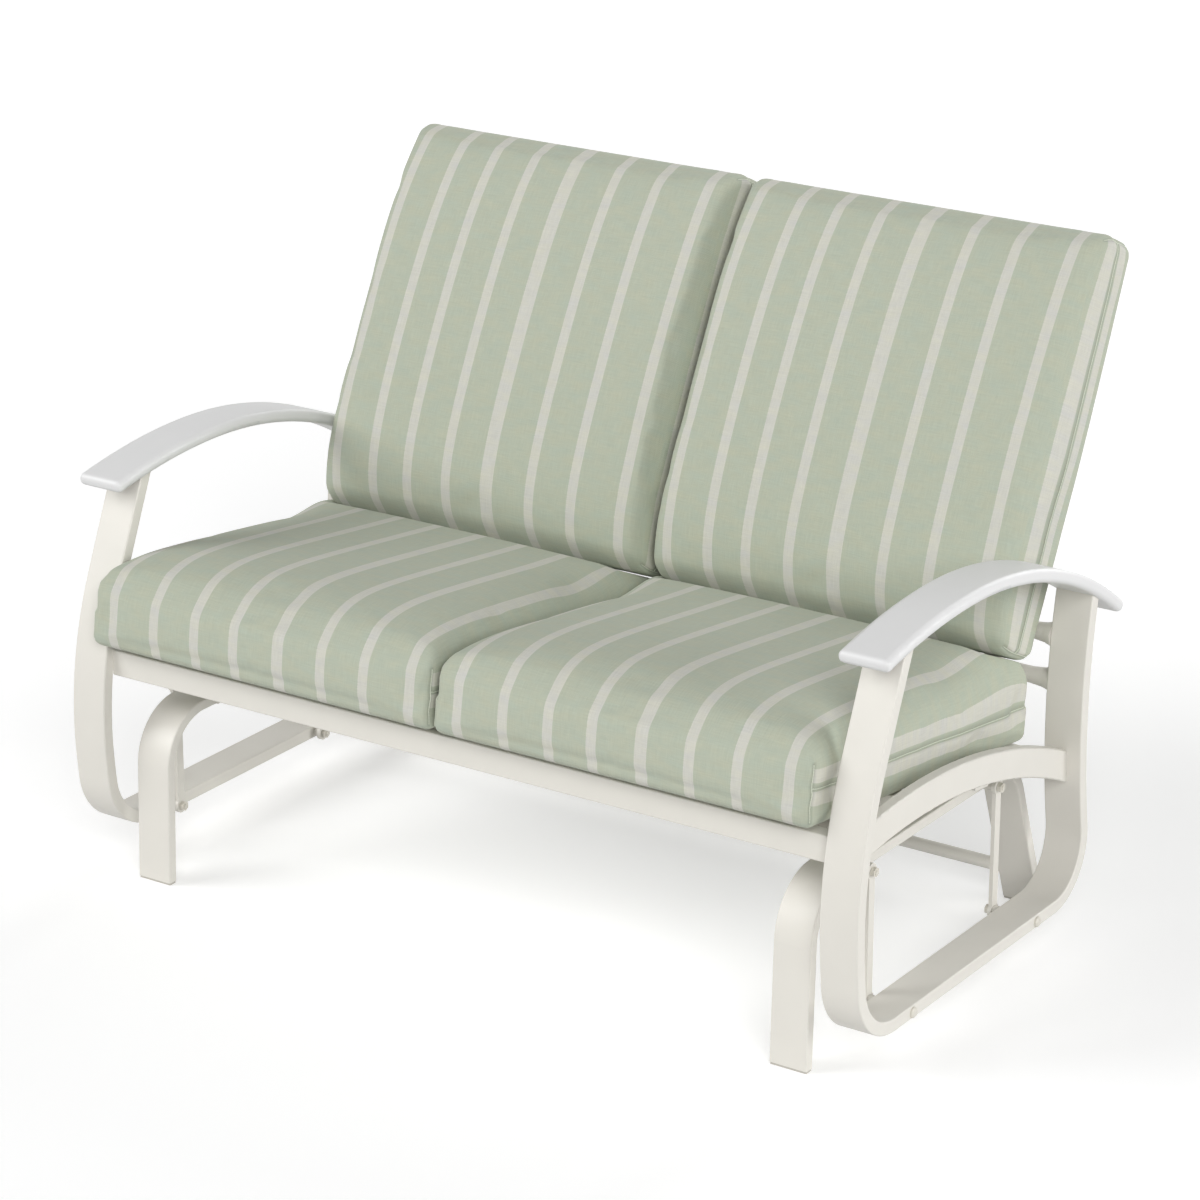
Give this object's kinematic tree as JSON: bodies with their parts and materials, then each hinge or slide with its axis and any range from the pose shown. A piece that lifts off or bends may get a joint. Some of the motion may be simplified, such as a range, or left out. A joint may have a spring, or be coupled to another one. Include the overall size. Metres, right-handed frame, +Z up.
{
  "type": "glider bench",
  "caption": "Two-seat porch glider: a cushioned bench frame with curved arms that hangs on links from a fixed base and glides forward and back.",
  "frame": {"origin": "on the floor under the middle of the whole bench at rest", "axes": "+X along the seat, +Y to the back of the bench, +Z up"},
  "size_m": [1.378, 0.8643, 1.0064],
  "materials": {
    "frame_paint": "satin cream powder coat",
    "arm_polymer": "satin pale grey",
    "cushion_fabric": "sage green woven fabric with pale stripes",
    "pivot_hardware": "painted over with the frame",
    "spacer_nylon": "pale nylon",
    "glide_plastic": "pale moulded"
  },
  "bodies": {
    "base": {"base_side_left": "frame_paint", "base_side_right": "frame_paint", "base_tube_middle": "frame_paint", "base_tube_rear": "frame_paint", "bolt_upper_front_left": "pivot_hardware", "bolt_upper_front_right": "pivot_hardware", "bolt_upper_rear_left": "pivot_hardware", "bolt_upper_rear_right": "pivot_hardware", "foot_front_left": "glide_plastic", "foot_front_right": "glide_plastic", "foot_rear_left": "glide_plastic", "foot_rear_right": "glide_plastic", "nut_upper_front_left": "pivot_hardware", "nut_upper_front_right": "pivot_hardware", "nut_upper_rear_left": "pivot_hardware", "nut_upper_rear_right": "pivot_hardware", "spacer_upper_front_left": "spacer_nylon", "spacer_upper_front_right": "spacer_nylon", "spacer_upper_rear_left": "spacer_nylon", "spacer_upper_rear_right": "spacer_nylon"},
    "front_links": {"link_front_left": "frame_paint", "link_front_right": "frame_paint"},
    "rear_links": {"link_rear_left": "frame_paint", "link_rear_right": "frame_paint"},
    "seat": {"arm_left": "arm_polymer", "arm_right": "arm_polymer", "back_cushion_left": "cushion_fabric", "back_cushion_right": "cushion_fabric", "back_tube_1": "frame_paint", "back_tube_2": "frame_paint", "back_tube_3": "frame_paint", "back_upright_left": "frame_paint", "back_upright_middle": "frame_paint", "back_upright_right": "frame_paint", "bolt_lower_front_left": "pivot_hardware", "bolt_lower_front_right": "pivot_hardware", "bolt_lower_rear_left": "pivot_hardware", "bolt_lower_rear_right": "pivot_hardware", "deck_slat_1": "frame_paint", "deck_slat_2": "frame_paint", "deck_slat_3": "frame_paint", "deck_slat_4": "frame_paint", "front_rail": "frame_paint", "nut_lower_front_left": "pivot_hardware", "nut_lower_front_right": "pivot_hardware", "nut_lower_rear_left": "pivot_hardware", "nut_lower_rear_right": "pivot_hardware", "rear_tube_lower": "frame_paint", "rear_tube_upper": "frame_paint", "seat_cushion_left": "cushion_fabric", "seat_cushion_right": "cushion_fabric", "seat_rail_left": "frame_paint", "seat_rail_right": "frame_paint", "side_loop_left": "frame_paint", "side_loop_right": "frame_paint", "spacer_lower_front_left": "spacer_nylon", "spacer_lower_front_right": "spacer_nylon", "spacer_lower_rear_left": "spacer_nylon", "spacer_lower_rear_right": "spacer_nylon"}
  },
  "joints": [
    {"name": "front_link_swing", "type": "hinge", "parent": "base", "child": "front_links", "pos_m": [0, -0.277, 0.262], "axis": [1, 0, 0], "range_deg": [-15, 15]},
    {"name": "seat_swing", "type": "hinge", "parent": "front_links", "child": "seat", "pos_m": [0, -0.277, 0.069], "axis": [1, 0, 0], "range_deg": [-15, 15]},
    {"name": "rear_link_swing", "type": "hinge", "parent": "base", "child": "rear_links", "pos_m": [0, 0.078, 0.262], "axis": [1, 0, 0], "range_deg": [-15, 15]}
  ],
  "couplings": [
    {"joint": "seat_swing", "follows": "front_link_swing", "ratio": -1},
    {"joint": "rear_link_swing", "follows": "front_link_swing", "ratio": 1}
  ]
}
